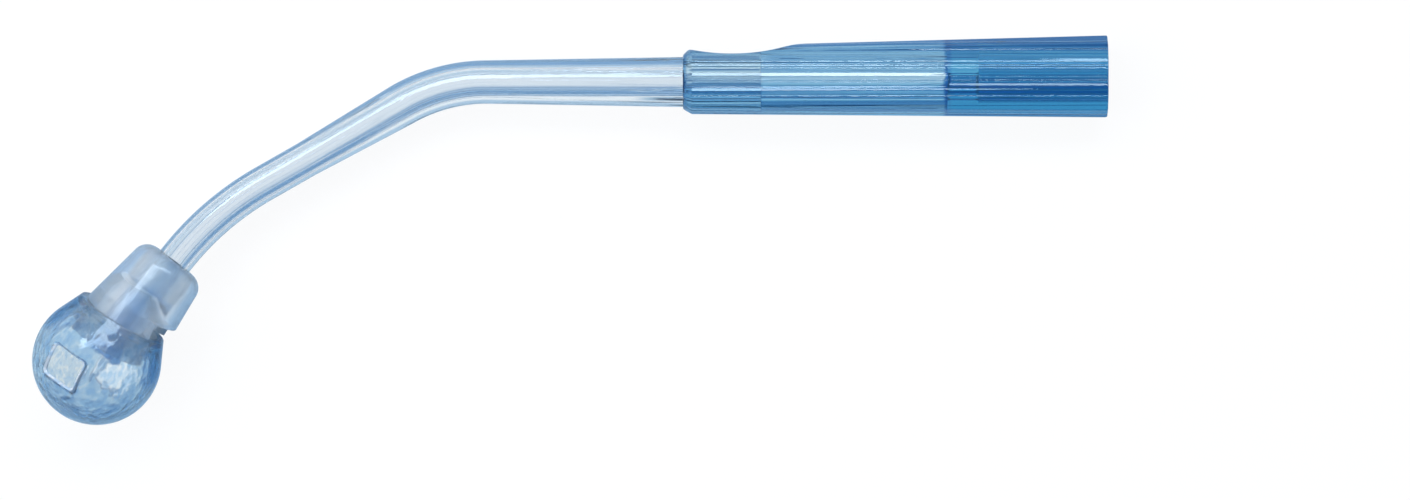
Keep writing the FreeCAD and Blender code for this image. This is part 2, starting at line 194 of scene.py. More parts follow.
def evenly(*stops, step):
    """Numbers from the first stop to the last, no further apart than step, that hold each stop."""
    runs = [np.linspace(a, b, max(2, int(abs(b - a) / step) + 1))[:-1] for a, b in zip(stops, stops[1:])]
    return np.concatenate(runs + [np.array([stops[-1]])])


def ball_centre():
    """The last leg's end, where the ball's centre is."""
    both = HANDLE_BEND_ANGLE + BALL_BEND_ANGLE
    x = -LEG_AT_HANDLE - LEG_MIDDLE * math.cos(HANDLE_BEND_ANGLE) - LEG_AT_BALL * math.cos(both)
    y = -LEG_MIDDLE * math.sin(HANDLE_BEND_ANGLE) - LEG_AT_BALL * math.sin(both)
    return np.array([x, y, 0.0])


def suction_tube():
    """A circle carried along the centre line: out along the outside, back along the bore. A point is
    centre + radius * (cos(angle) * left + sin(angle) * up), with the ends' outer edges rounded."""
    spacing, count = 0.5, 128
    ends = route(np.zeros(1))[2]
    tip = ends[3] + LEG_AT_BALL - BALL_BEND_RADIUS * math.tan(BALL_BEND_ANGLE / 2) - TUBE_END_ABOVE_BALL
    taper_end = ends[1] + TUBE_TAPER
    reach = evenly(-TUBE_SOCKET_DEPTH, 0, ends[0], ends[1], taper_end, ends[2], ends[3], tip, step=spacing)
    radius = np.interp(reach, [0, ends[0], ends[1], taper_end],
                       [TUBE_RADIUS_AT_HANDLE, TUBE_RADIUS_AT_BEND, TUBE_RADIUS_AT_BEND, TUBE_RADIUS_AT_BALL])
    round_step = 0.3 * TUBE_END_ROUND
    reach[0] += TUBE_END_ROUND
    reach[-1] -= TUBE_END_ROUND
    out = np.concatenate([[-TUBE_SOCKET_DEPTH, -TUBE_SOCKET_DEPTH + round_step], reach,
                          [tip - round_step, tip]])
    out_radius = np.concatenate([[radius[0] - TUBE_END_ROUND, radius[0] - round_step], radius,
                                 [radius[-1] - round_step, radius[-1] - TUBE_END_ROUND]])
    back = evenly(-TUBE_SOCKET_DEPTH, 0, ends[0], ends[1], ends[2], ends[3], tip, step=spacing)[::-1]
    back_radius = np.full(len(back), TUBE_BORE_RADIUS)
    stations, radii = np.concatenate([out, back]), np.concatenate([out_radius, back_radius])
    place, turn, _ = route(stations)
    a = np.linspace(0, FULL_TURN, count, endpoint=False)
    left = np.stack([-np.sin(turn), np.cos(turn), 0 * turn], -1)
    ring = radii[:, None, None] * (np.cos(a)[None, :, None] * left[:, None, :]
                                   + np.sin(a)[None, :, None] * np.array([0, 0, 1.0]))
    points = (place[:, None, :] + ring).reshape(-1, 3)
    across = radii[:, None, None] * np.stack([np.cos(a), np.sin(a)], -1)
    run = np.concatenate([np.broadcast_to(stations[:, None, None], across.shape[:2] + (1,)), across], -1)
    sleeve_start = tip + TUBE_END_ABOVE_BALL - SLEEVE_TOP
    sleeve_end = tip + TUBE_END_ABOVE_BALL - RIM_HEIGHT - PORT_HEIGHT - FUNNEL_LENGTH
    bonded = (stations <= 0) | ((stations >= sleeve_start) & (stations <= sleeve_end))
    bonded &= radii > TUBE_BORE_RADIUS
    return finished("suction_tube_clear", points, ring_quads(len(stations), count, True), run.reshape(-1, 3),
                    "suction_tube", bond=np.repeat(bonded, count))


def bezier(t, *poles):
    """The cubic curve of four poles at t, each pole a number."""
    a, b, c, d = poles
    return (1 - t) ** 3 * a + 3 * (1 - t) ** 2 * t * b + 3 * (1 - t) * t ** 2 * c + t ** 3 * d


def thumb_line(x):
    """The height of the thumb rest's floor over X: a gentle cubic curve down from the top's line to the
    lowest place, then a cubic S up to that line again."""
    def top(at):
        return TOP_FRONT + (TOP_REAR - TOP_FRONT) * at / HANDLE_LENGTH

    floor = top(THUMB_LOWEST) - THUMB_DEPTH
    rise = THUMB_END - THUMB_LOWEST
    near_end = THUMB_END - 0.25 * rise
    t = np.linspace(0, 1, 60)
    xs = [bezier(t, -1.0, 0.35 * THUMB_LOWEST, 0.7 * THUMB_LOWEST, THUMB_LOWEST),
          bezier(t, THUMB_LOWEST, THUMB_LOWEST + 0.6 * rise, near_end, THUMB_END)]
    ys = [bezier(t, top(-1.0), floor + 0.2 * THUMB_DEPTH, floor, floor),
          bezier(t, floor, floor, top(near_end), top(THUMB_END))]
    line = np.interp(x, np.concatenate(xs), np.concatenate(ys))
    return np.where(x > THUMB_END, 2 * TOP_REAR, line)


def handle_radius(x, a):
    """The handle's outside at X and at angles about the tube's axis: each flat would alone be at
    distance d / cos(angle from its normal); the smallest of them counts, blended over the corners by
    a high power: near * (sum of (near / distance) ** power) ** (-1 / power). Angle 0 is up in the plan,
    and a quarter turn is towards +Z."""
    x, a = np.broadcast_arrays(x, a)
    share = np.clip(x / NOSE_LENGTH, 0, 1)
    top = TOP_FRONT + (TOP_REAR - TOP_FRONT) * x / HANDLE_LENGTH
    base = BASE_FRONT + (BASE_REAR - BASE_FRONT) * x / HANDLE_LENGTH
    top, base = NOSE_HEIGHT + (top - NOSE_HEIGHT) * share, NOSE_HEIGHT + (base - NOSE_HEIGHT) * share
    half = HANDLE_HALF_THICKNESS - NOSE_LENGTH * (1 - share)
    power, near = 160, 6.0
    total = 0
    for height, flat, sign in ((top, SIDE_FLAT_ABOVE, 1), (base, SIDE_FLAT_BELOW, -1)):
        mid_h = flat + (height - flat) * MIDDLE_HEIGHT_SHARE
        mid_w = TOP_FLAT_HALF_WIDTH + (half - TOP_FLAT_HALF_WIDTH) * MIDDLE_WIDTH_SHARE
        corners = [(height, 0 * height + TOP_FLAT_HALF_WIDTH), (mid_h, mid_w), (flat + 0 * height, half)]
        total = total + (np.clip(sign * np.cos(a), 0, None) * near / height) ** power
        for (h1, w1), (h2, w2) in zip(corners, corners[1:]):
            nx, ny = (w2 - w1), (h1 - h2)
            size = np.hypot(nx, ny)
            away = (h1 * nx + w1 * ny) / size
            for side in (1, -1):
                lean = (sign * np.cos(a) * nx + side * np.sin(a) * ny) / size
                total = total + (np.clip(lean, 0, None) * near / away) ** power
    for side in (1, -1):
        total = total + (np.clip(side * np.sin(a), 0, None) * near / half) ** power
    thumb = np.clip(np.cos(a), 0, None) * near / thumb_line(x)
    lines = sum(height * np.clip(1 - np.abs(a - math.pi / 2 - lean) / half_line, 0, 1)
                * np.clip((x - first) / LINE_FADE + 0.5, 0, 1) * np.clip((last - x) / LINE_FADE + 0.5, 0, 1)
                for lean, height, half_line, (first, last) in LINES)
    return near * (total + thumb ** power) ** (-1 / power) + lines * share


def handle():
    """The flat-sided outside from nose to rear, then the bores back to the nose, as one closed grid of
    (place along, angle). A point is at the outside's or the bore's radius from its axis. The stations
    are closer together along the nose and the thumb rest."""
    count = 720
    a = np.linspace(0, FULL_TURN, count, endpoint=False)
    xs = np.concatenate([[0.0, 0.1], evenly(0.5, NOSE_LENGTH, step=0.3), evenly(1.9, THUMB_END, step=0.35),
                         evenly(THUMB_END + 0.4, CHAMBER_END - LINE_FADE / 2, CHAMBER_END + LINE_FADE / 2,
                                HANDLE_LENGTH - 0.3, step=5.0), [HANDLE_LENGTH - 0.08, HANDLE_LENGTH]])
    inset = np.zeros(len(xs))
    inset[[0, 1]], inset[[-2, -1]] = NOSE_EDGE, REAR_EDGE
    outer = handle_radius(xs[:, None], a[None, :]) - inset[:, None]
    bores = [(HANDLE_LENGTH, HOSE_BORE_RADIUS + BORE_EDGE, HOSE_BORE_OFFSET),
             (HANDLE_LENGTH - BORE_EDGE, HOSE_BORE_RADIUS, HOSE_BORE_OFFSET),
             (THROAT_END, HOSE_BORE_RADIUS, HOSE_BORE_OFFSET), (THROAT_END, THROAT_RADIUS + CHAMFER, 0),
             (THROAT_END - CHAMFER, THROAT_RADIUS, 0), (CHAMBER_END + CHAMFER, THROAT_RADIUS, 0),
             (CHAMBER_END, THROAT_RADIUS + CHAMFER, 0), (CHAMBER_END, CHAMBER_RADIUS, 0),
             (TUBE_SOCKET_DEPTH, CHAMBER_RADIUS, 0), (TUBE_SOCKET_DEPTH, SOCKET_RADIUS, 0),
             (SOCKET_FLARE_DEPTH, SOCKET_RADIUS, 0), (0.0, SOCKET_RADIUS + SOCKET_FLARE, 0)]
    bore_x, bore_r, bore_y = (np.array(v, float) for v in zip(*bores))
    x = np.concatenate([xs, bore_x])
    r = np.concatenate([outer, np.broadcast_to(bore_r[:, None], (len(bores), count))])
    y0 = np.concatenate([0 * xs, bore_y])
    points = np.stack([np.broadcast_to(x[:, None], r.shape), y0[:, None] + r * np.cos(a), r * np.sin(a)], -1)
    points = points.reshape(-1, 3)
    bonded = np.r_[np.zeros(len(xs)), bore_r == SOCKET_RADIUS]
    return finished("handle_clear_blue", points, ring_quads(len(x), count, True), points, "handle",
                    bond=np.repeat(bonded, count))


# The sleeve's frame and the ball's frame, as rows (left, near up, along), from the ball's centre
LAST_LEG = HANDLE_BEND_ANGLE + BALL_BEND_ANGLE


def frame_rows(axis):
    """Rows of a frame: to the left of the axis, as near to up as it can be, and along the axis."""
    left = np.cross([0, 0, 1.0], axis)
    left /= np.linalg.norm(left)
    return np.stack([left, np.cross(axis, left), axis])


SLEEVE_ROWS = frame_rows(np.array([math.cos(LAST_LEG), math.sin(LAST_LEG), 0]))
BALL_ROWS = frame_rows(np.array([math.cos(LAST_LEG + BALL_LEAN) * math.cos(BALL_TIP_UP),
                                 math.sin(LAST_LEG + BALL_LEAN) * math.cos(BALL_TIP_UP),
                                 math.sin(BALL_TIP_UP)]))
BALL_IN_SLEEVE = BALL_ROWS @ SLEEVE_ROWS.T


def profile_outside(t):
    """The ball's outside, from the end hole to the rim, at shares t of its length: a sphere, and
    then the straight line that touches it and reaches the rim."""
    start = math.asin(END_HOLE_RADIUS / BALL_RADIUS) - math.pi / 2
    rim_angle = math.atan2(RIM_HEIGHT, RIM_RADIUS)
    touch = rim_angle - math.acos(BALL_RADIUS / math.hypot(RIM_RADIUS, RIM_HEIGHT))
    arc_length = BALL_RADIUS * (touch - start)
    r1, z1 = BALL_RADIUS * math.cos(touch), BALL_RADIUS * math.sin(touch)
    line = math.hypot(RIM_RADIUS - r1, RIM_HEIGHT - z1)
    s = t * (arc_length + line)
    angle = start + np.minimum(s, arc_length) / BALL_RADIUS
    over = np.clip((s - arc_length) / line, 0, 1)
    r = BALL_RADIUS * np.cos(angle) + over * (RIM_RADIUS - r1)
    z = BALL_RADIUS * np.sin(angle) + over * (RIM_HEIGHT - z1)
    return r, z, arc_length + line, start


def profile_inside(t):
    """The cavity, from the end hole to the rim, at shares t of its length: a sphere, then the mouth."""
    start = math.asin(END_HOLE_RADIUS / CAVITY_RADIUS) - math.pi / 2
    touch = math.acos(MOUTH_RADIUS / CAVITY_RADIUS)
    arc_length = CAVITY_RADIUS * (touch - start)
    line = RIM_HEIGHT - CAVITY_RADIUS * math.sin(touch)
    s = t * (arc_length + line)
    angle = start + np.minimum(s, arc_length) / CAVITY_RADIUS
    over = np.clip(s - arc_length, 0, line)
    return CAVITY_RADIUS * np.cos(angle), CAVITY_RADIUS * np.sin(angle) + over, arc_length + line, start


def rounded_box(count, half_width, low, high, corner):
    """Points evenly along a rounded rectangle, from the middle of its low side, to the right first."""
    def quarter(cx, cy, a0):
        a = a0 + np.linspace(0, math.pi / 2, 24)
        return np.stack([cx + corner * np.cos(a), cy + corner * np.sin(a)], -1)

    w, lo, hi = half_width - corner, low + corner, high - corner
    path = np.concatenate([[[0, low]], quarter(w, lo, -math.pi / 2), quarter(w, hi, 0),
                           quarter(-w, hi, math.pi / 2), quarter(-w, lo, math.pi), [[0, low]]])
    run = np.concatenate([[0], np.cumsum(np.hypot(*np.diff(path, axis=0).T))])
    at = np.linspace(0, run[-1], count, endpoint=False)
    return np.interp(at, run, path[:, 0]), np.interp(at, run, path[:, 1])


def tip_ball():
    """The hollow ball in sectors, one to each eye. In a sector a surface is a fan of rings between the
    eye's outline and the sector's edges, in (angle, share of the profile); the outside and the cavity
    use the same fan, and walls join them at the eyes, the rim and the end hole. Round an eye the first
    rings sink into the wall, which rounds its edge."""
    per_side, rings = 80, 28
    count = 4 * per_side
    half_sector = math.pi / EYE_COUNT
    y, z = rounded_box(count, EYE_HALF_WIDTH, EYE_BASE, EYE_TOP, EYE_CORNER)
    u = np.linspace(0, 1, per_side, endpoint=False)
    half_u = np.linspace(0, 1, per_side // 2, endpoint=False)
    edge_a = np.concatenate([half_u, 1 + 0 * u, 1 - 2 * u, -1 + 0 * u, -1 + half_u]) * half_sector
    edge_t = np.concatenate([0 * half_u, u, 1 + 0 * u, 1 - u, 0 * half_u])
    near_eye, sink = [0, 0.008, 0.018, 0.03], [0.55, 0.25, 0.1, 0.03, 0.0]
    fan = np.concatenate([near_eye, np.linspace(0.06, 1, rings - len(near_eye)) ** 1.1])[:, None]
    sunk = np.interp(fan, near_eye + [0.045], sink)
    surfaces = []
    for profile, radius in ((profile_outside, BALL_RADIUS), (profile_inside, CAVITY_RADIUS)):
        _, _, length, start = profile(np.zeros(1))
        eye_a = np.arctan2(y, np.sqrt(radius ** 2 - y ** 2 - z ** 2))
        eye_t = (np.arcsin(z / radius) - start) * radius / length
        a = eye_a + (edge_a - eye_a) * fan
        r, h, _, _ = profile(eye_t + (edge_t - eye_t) * fan)
        inwards = 1 - sunk / radius * (1 if radius == BALL_RADIUS else -1)
        r, h = r * inwards, h * inwards
        surfaces.append((a, r, h))
    per_surface = rings * count
    frost = np.repeat(np.interp(np.arange(rings), [0, 1, 2, 3], [1, 1, 0.6, 0]), count)
    fans = ring_quads(rings, count, False)
    i = np.arange(count)
    eye_wall = np.stack([i, (i + 1) % count, per_surface + (i + 1) % count, per_surface + i], -1)
    last, half = (rings - 1) * count, per_side // 2

    def wall(idx):
        """Quads between the two surfaces, along a part of the sector's edges."""
        n = (idx + 1) % count
        return np.stack([last + n, last + idx, per_surface + last + idx, per_surface + last + n], -1)

    end_hole = wall(np.r_[np.arange(count - half, count), np.arange(half)])
    rim = wall(np.arange(half + per_side, half + 2 * per_side))
    sector = np.concatenate([fans, per_surface + fans[:, ::-1], eye_wall[:, ::-1], end_hole[:, ::-1],
                             rim[:, ::-1]])
    points, quads = [], []
    for k in range(EYE_COUNT):
        turn = EYE_FIRST + k * FULL_TURN / EYE_COUNT
        for a, r, h in surfaces:
            points.append(np.stack([r * np.cos(a + turn), r * np.sin(a + turn), h], -1).reshape(-1, 3))
        quads.append(2 * k * per_surface + sector)
    local = np.concatenate(points)
    quads = np.concatenate(quads)
    local, quads, kept = merged(local, quads)
    in_mouth = (np.hypot(local[:, 0], local[:, 1]) < SPIGOT_RADIUS) & (local[:, 2] > SPIGOT_END)
    return finished("tip_ball_clear", local @ BALL_ROWS + ball_centre(), quads, local[:, [2, 0, 1]],
                    "tip_ball", edge=np.tile(frost, 2 * EYE_COUNT)[kept], bond=in_mouth)


def merged(points, quads):
    """The same surface with points that share a place made one, and which points were kept."""
    key = np.round(points * 1e4).astype(np.int64)
    _, first, back = np.unique(key, axis=0, return_index=True, return_inverse=True)
    return points[first], back.ravel()[quads], first


def bell_radius(height):
    """The bell's radius at heights on the sleeve's axis, below its rounded shoulder, and its slope."""
    round_start = SLEEVE_TOP - SHOULDER_ROUND
    slope = (SLEEVE_RIM_RADIUS - SLEEVE_SHOULDER_RADIUS) / (round_start - RIM_HEIGHT)
    return SLEEVE_SHOULDER_RADIUS + slope * (round_start - height), slope


def ring_in_ball_plane(height, a, radius_at_zero, slope):
    """Where a plane across the ball's axis, at a height, meets a cone about the sleeve's axis, at
    angles about the ball's axis. The cone's radius is radius_at_zero - slope * height. Returns the
    points in the sleeve's frame."""
    start = np.array([0, 0, height]) @ BALL_IN_SLEEVE
    way = np.stack([np.cos(a), np.sin(a), 0 * a], -1) @ BALL_IN_SLEEVE
    at = radius_at_zero - slope * start[2]
    qa = way[:, 0] ** 2 + way[:, 1] ** 2 - (slope * way[:, 2]) ** 2
    qb = start[0] * way[:, 0] + start[1] * way[:, 1] + slope * way[:, 2] * at
    qc = start[0] ** 2 + start[1] ** 2 - at ** 2
    reach = (-qb + np.sqrt(qb ** 2 - qa * qc)) / qa
    return start + reach[:, None] * way


def funnel_rings(base, a):
    """The funnel's upper edge and the foot of the tube's socket, at angles about the ball's axis, in
    the sleeve's frame. The funnel is a cone about the ball's axis that narrows from the hollow to the
    tube; it ends where it meets the socket, or in a flat at its top."""
    apart = 0.02
    rise = np.linspace(apart, FUNNEL_LENGTH, 90)
    narrow = (HOLLOW_RADIUS - TUBE_RADIUS_AT_BALL) / FUNNEL_LENGTH
    cone = HOLLOW_RADIUS - narrow * rise
    level = np.array([0, 0, 1.0]) @ BALL_IN_SLEEVE
    reach = np.array([np.linalg.norm(ring_in_ball_plane(base + h, a, SLEEVE_SOCKET_RADIUS, 0.0)
                                     - (base + h) * level, axis=1) for h in rise])
    met = reach >= cone[:, None]
    first = np.where(met.any(0), met.argmax(0), len(rise) - 1)
    heights = base + rise[first]
    radius = np.maximum(cone[first], reach[first, np.arange(len(a))] + apart)
    edge = np.stack([radius * np.cos(a), radius * np.sin(a), heights - apart], -1) @ BALL_IN_SLEEVE
    foot_radius = reach[first, np.arange(len(a))]
    foot = np.stack([foot_radius * np.cos(a), foot_radius * np.sin(a), heights], -1) @ BALL_IN_SLEEVE
    return edge, foot


def tip_sleeve():
    """Rings of (radius, height) about the two axes: the bell and its socket about the sleeve's, the
    spigot and its hollow about the ball's. A wall joins the two, but for the port on one side. The
    upper rings run up the bell, down the socket and out along the funnel to the port's top, and the
    lower ones up the hollow's wall and back down the spigot."""
    per_port, per_wall = 64, 232
    a = PORT_ANGLE + np.concatenate([np.linspace(-PORT_HALF, PORT_HALF, per_port, endpoint=False),
                                     np.linspace(PORT_HALF, FULL_TURN - PORT_HALF, per_wall, endpoint=False)])
    count = len(a)
    port_top = RIM_HEIGHT + PORT_HEIGHT
    round_start = SLEEVE_TOP - SHOULDER_ROUND
    radius_at_zero, slope = bell_radius(0.0)

    def from_ball(rings):
        """Ball-frame rings of (radius, height) in the sleeve's frame."""
        return [np.stack([r * np.cos(a), r * np.sin(a), z + 0 * a], -1) @ BALL_IN_SLEEVE for r, z in rings]

    def from_sleeve(rings):
        return [np.stack([r * np.cos(a), r * np.sin(a), z + 0 * a], -1) for r, z in rings]

    def on_bell(low):
        """Rings on the bell's cone, from a low ring up to where its shoulder starts."""
        low_a = np.arctan2(low[:, 1], low[:, 0])
        low_a = a + (low_a - a + math.pi) % FULL_TURN - math.pi
        share = np.linspace(0, 1, 14)[:, None]
        aa = low_a + (a - low_a) * share
        zz = low[:, 2] + (round_start - low[:, 2]) * share
        rr = bell_radius(zz)[0]
        return list(np.stack([rr * np.cos(aa), rr * np.sin(aa), zz], -1))

    outer_top = ring_in_ball_plane(port_top, a, radius_at_zero, slope)
    foot = RIM_HEIGHT - FOOT_BELOW_RIM
    outer_rim = ring_in_ball_plane(foot, a, radius_at_zero, slope)
    funnel, meeting = funnel_rings(port_top, a)
    q = np.linspace(0, math.pi / 2, 14)[1:]
    shoulder = [(SLEEVE_SHOULDER_RADIUS - SHOULDER_ROUND * (1 - math.cos(t)), round_start
                 + SHOULDER_ROUND * math.sin(t)) for t in q]
    bell = on_bell(outer_top) + from_sleeve(shoulder)
    socket = from_sleeve([(SLEEVE_SOCKET_RADIUS, height) for height in SLEEVE_SOCKET_RINGS]) + [meeting]
    upper = bell + socket + [funnel] + from_ball([(HOLLOW_RADIUS, port_top)])
    spigot = [(SPIGOT_RADIUS, foot)]
    for g in range(GROOVE_COUNT)[::-1]:
        base = SPIGOT_END + GROOVE_PITCH * (g + 0.5)
        deep = SPIGOT_RADIUS - GROOVE_DEPTH
        spigot += [(SPIGOT_RADIUS, base + GROOVE_WIDTH), (deep, base + GROOVE_WIDTH), (deep, base),
                   (SPIGOT_RADIUS, base)]
    spigot += [(SPIGOT_RADIUS, SPIGOT_END), (HOLLOW_RADIUS, SPIGOT_END), (HOLLOW_RADIUS, foot)]
    lower = from_ball(spigot[::-1])
    points = np.concatenate(upper + lower + [outer_rim])
    socket_rows = np.repeat([False, True, False], [len(bell), len(socket), 2])
    spigot_rows = [r == SPIGOT_RADIUS for r, _ in spigot[::-1]]
    bonded = np.repeat(np.r_[socket_rows, spigot_rows, False], count)
    top_end, low_first = (len(upper) - 1) * count, len(upper) * count
    rim = low_first + len(lower) * count
    low_last = rim - count
    j = np.arange(count)
    n = (j + 1) % count
    port = j < per_port

    def strip(first, second, use):
        return np.stack([first + j, first + n, second + n, second + j], -1)[use]

    quads = [ring_quads(len(upper), count, False), low_first + ring_quads(len(lower), count, False),
             strip(top_end, 0, port), strip(low_last, low_first, port),
             strip(rim, 0, ~port), strip(low_last, rim, ~port), strip(top_end, low_first, ~port)]
    for s, way in ((j[:1], 1), (j[per_port:per_port + 1], -1)):
        wall = np.stack([s, low_last + s, low_first + s, top_end + s], -1)
        if way < 0:
            wall = wall[:, [1, 0, 3, 2]]
        third = rim + s if way > 0 else s
        second = s if way > 0 else rim + s
        quads += [wall, np.stack([second, third, low_last + s, low_last + s], -1)]
    quads = np.concatenate(quads)
    return finished("tip_sleeve_clear", points @ SLEEVE_ROWS + ball_centre(), quads, points[:, [2, 0, 1]],
                    "tip_sleeve", bond=bonded)


def srgb(text):
    """A hex colour as linear red, green, blue and one for alpha."""
    values = [int(text[i:i + 2], 16) / 255 for i in (1, 3, 5)]
    return [v / 12.92 if v <= 0.04045 else ((v + 0.055) / 1.055) ** 2.4 for v in values] + [1.0]


def node(tree, kind, settings=None, **links):
    """A node with its settings, and its inputs by name or as i and a number: a socket is linked,
    anything else is set. Underscores in a name stand for spaces."""
    made = tree.nodes.new(kind)
    for key, value in (settings or {}).items():
        setattr(made, key, value)
    for key, value in links.items():
        numbered = key[0] == "i" and key[1:].isdigit()
        socket = made.inputs[int(key[1:]) if numbered else key.replace("_", " ")]
        if isinstance(value, bpy.types.NodeSocket):
            tree.links.new(value, socket)
        else:
            socket.default_value = value
    return made


MIX = {"data_type": "RGBA"}
MULTIPLY = {"data_type": "RGBA", "blend_type": "MULTIPLY"}
SMOOTH = {"interpolation_type": "SMOOTHSTEP"}
WHITE, BLACK = srgb("#ffffff"), srgb("#000000")
# The resin takes out red most and blue least, so it deepens from pale to strong blue with its thickness
RESIN_IOR, RESIN_DEPTH = 1.57, srgb("#27c5e3")
# Where the tints of patches, the painted shade of the lower part and the painted shade of the ball's sides
# begin and are full: values of the noise, mm above the middle, and for the sides a ratio, up over left,
# and mm towards the mouth
PATCH_FROM, PATCH_TO = 0.42, 0.58
LOW_SHADE_FROM, LOW_SHADE_TO = 0.6, -1.6
FLANK_SHADE_LEAN_FROM, FLANK_SHADE_LEAN_TO, FLANK_SHADE_HEIGHT_FROM, FLANK_SHADE_HEIGHT_TO = 0.75, 0.35, -2.0, 4.0


def tints(tree, place, stops):
    """A colour that changes with a place between stops of (place, hex colour)."""
    first, last = stops[0][0], stops[-1][0]
    share = node(tree, "ShaderNodeMapRange", Value=place, From_Min=first, From_Max=last)
    ramp = node(tree, "ShaderNodeValToRGB", Fac=share.outputs["Result"])
    marks = ramp.color_ramp.elements
    for i, (at, tint) in enumerate(stops):
        position = (at - first) / (last - first)
        mark = marks[i] if i < 2 else marks.new(position)
        mark.position, mark.color = position, srgb(tint)
    return ramp.outputs["Color"]


def resin(name, density, flow, relief, ridge, rough, haze, mirror, ridge_share=0.035, frost=0.0,
          patch=None, along=None, low=None, bands=None, flank_shade=None):
    """Clear styrene-butadiene resin with a blue tint, injection moulded.

    density is the depth of its colour per metre. Its flow lines are noise of a width and a length in mm,
    with relief in mm, and sharp ridges of a height in mm where the noise is near its middle value. haze
    is the share of the light that it scatters, and frost that at a cut edge. mirror tints what it
    reflects. The tint varies in patches of random tone, and it is painted shade with stops along the
    piece, below its middle (low) and across it (bands), and deeper at the ball's two sides. A bonded
    surface loses no light."""
    mat = bpy.data.materials.new(name)
    mat.use_nodes = True
    tree = mat.node_tree
    tree.nodes.clear()
    run = node(tree, "ShaderNodeAttribute", {"attribute_name": "run"}).outputs["Vector"]
    split = node(tree, "ShaderNodeSeparateXYZ", Vector=run)
    bond = node(tree, "ShaderNodeAttribute", {"attribute_name": "bond"}).outputs["Fac"]
    edge = node(tree, "ShaderNodeAttribute", {"attribute_name": "edge"}).outputs["Fac"]

    stretch = node(tree, "ShaderNodeMapping", Vector=run, Scale=(1 / flow[1], 1 / flow[0], 1 / flow[0]))
    waves = node(tree, "ShaderNodeTexNoise", Vector=stretch.outputs["Vector"], Scale=1.0, Detail=1.0)
    apart = node(tree, "ShaderNodeMath", {"operation": "SUBTRACT"}, i0=waves.outputs["Fac"], i1=0.5)
    near = node(tree, "ShaderNodeMath", {"operation": "ABSOLUTE"}, i0=apart.outputs[0])
    line = node(tree, "ShaderNodeMapRange", SMOOTH, Value=near.outputs[0], From_Min=0.0,
                From_Max=ridge_share, To_Min=ridge / relief, To_Max=0.0)
    height = node(tree, "ShaderNodeMath", {"operation": "ADD"}, i0=waves.outputs["Fac"],
                  i1=line.outputs["Result"])
    bump = node(tree, "ShaderNodeBump", Height=height.outputs[0], Strength=1.0, Distance=relief * MM)

    colour = WHITE
    if patch:
        share = node(tree, "ShaderNodeMapRange", SMOOTH, Value=waves.outputs["Fac"], From_Min=PATCH_FROM,
                     From_Max=PATCH_TO)
        colour = node(tree, "ShaderNodeMix", MIX, i0=share.outputs["Result"], i6=colour,
                      i7=srgb(patch)).outputs[2]
    # Painted shade: tints along the piece, below its middle and across it
    if along:
        colour = tints(tree, split.outputs["X"], along)
    if low:
        below = node(tree, "ShaderNodeMapRange", SMOOTH, Value=split.outputs["Y"], From_Min=LOW_SHADE_FROM,
                     From_Max=LOW_SHADE_TO)
        colour = node(tree, "ShaderNodeMix", MIX, i0=below.outputs["Result"], i6=colour,
                      i7=tints(tree, split.outputs["X"], low)).outputs[2]
    if bands:
        colour = node(tree, "ShaderNodeMix", MULTIPLY, i0=1.0, i6=colour,
                      i7=tints(tree, split.outputs["Y"], bands)).outputs[2]
    # Painted shade: a deeper blue at the ball's two sides near the mouth
    if flank_shade:
        left = node(tree, "ShaderNodeMath", {"operation": "ABSOLUTE"}, i0=split.outputs["Y"])
        over = node(tree, "ShaderNodeMath", {"operation": "ABSOLUTE"}, i0=split.outputs["Z"])
        lean = node(tree, "ShaderNodeMath", {"operation": "DIVIDE"}, i0=over.outputs[0], i1=left.outputs[0])
        beside = node(tree, "ShaderNodeMapRange", SMOOTH, Value=lean.outputs[0], From_Min=FLANK_SHADE_LEAN_FROM,
                      From_Max=FLANK_SHADE_LEAN_TO)
        high = node(tree, "ShaderNodeMapRange", SMOOTH, Value=split.outputs["X"],
                    From_Min=FLANK_SHADE_HEIGHT_FROM, From_Max=FLANK_SHADE_HEIGHT_TO)
        both = node(tree, "ShaderNodeMath", {"operation": "MULTIPLY"}, i0=beside.outputs["Result"],
                    i1=high.outputs["Result"])
        colour = node(tree, "ShaderNodeMix", MIX, i0=both.outputs[0], i6=colour, i7=srgb(flank_shade)).outputs[2]

    joined = node(tree, "ShaderNodeMix", MIX, i0=bond, i6=colour, i7=WHITE)
    mirrored = node(tree, "ShaderNodeMix", MIX, i0=bond, i6=srgb(mirror), i7=BLACK)
    clear = node(tree, "ShaderNodeMath", {"operation": "MULTIPLY_ADD"}, i0=edge, i1=-frost * (1 - haze),
                 i2=1 - haze)
    shader = node(tree, "ShaderNodeBsdfPrincipled", Base_Color=joined.outputs[2], Roughness=rough,
                  IOR=RESIN_IOR, Normal=bump.outputs["Normal"], Specular_Tint=mirrored.outputs[2],
                  Transmission_Weight=clear.outputs[0])
    depth = node(tree, "ShaderNodeVolumeAbsorption", Color=RESIN_DEPTH, Density=density)
    node(tree, "ShaderNodeOutputMaterial", Surface=shader.outputs["BSDF"], Volume=depth.outputs["Volume"])
    return mat


def tube_resin():
    """Styrene-butadiene resin with almost no tint, injection moulded and left glossy. The eye sees a
    glassy wall with a pale middle and bluer edges, and faint flow lines along it. They are 1.4 mm wide,
    drawn coarser than the real ones so that they show. The end in the sleeve is painted bluer, a painted
    shade that stands in for the layers of resin seen there."""
    # Painted shade: the tint along the tube turns bluer at its end in the sleeve
    return resin("styrene_resin_pale", 13.0, (1.4, 900.0), 0.05, 0.02, 0.01, haze=0.06, mirror="#c8dcee",
                 along=((106.0, "#f6fafd"), (109.0, "#b0d0ee")))


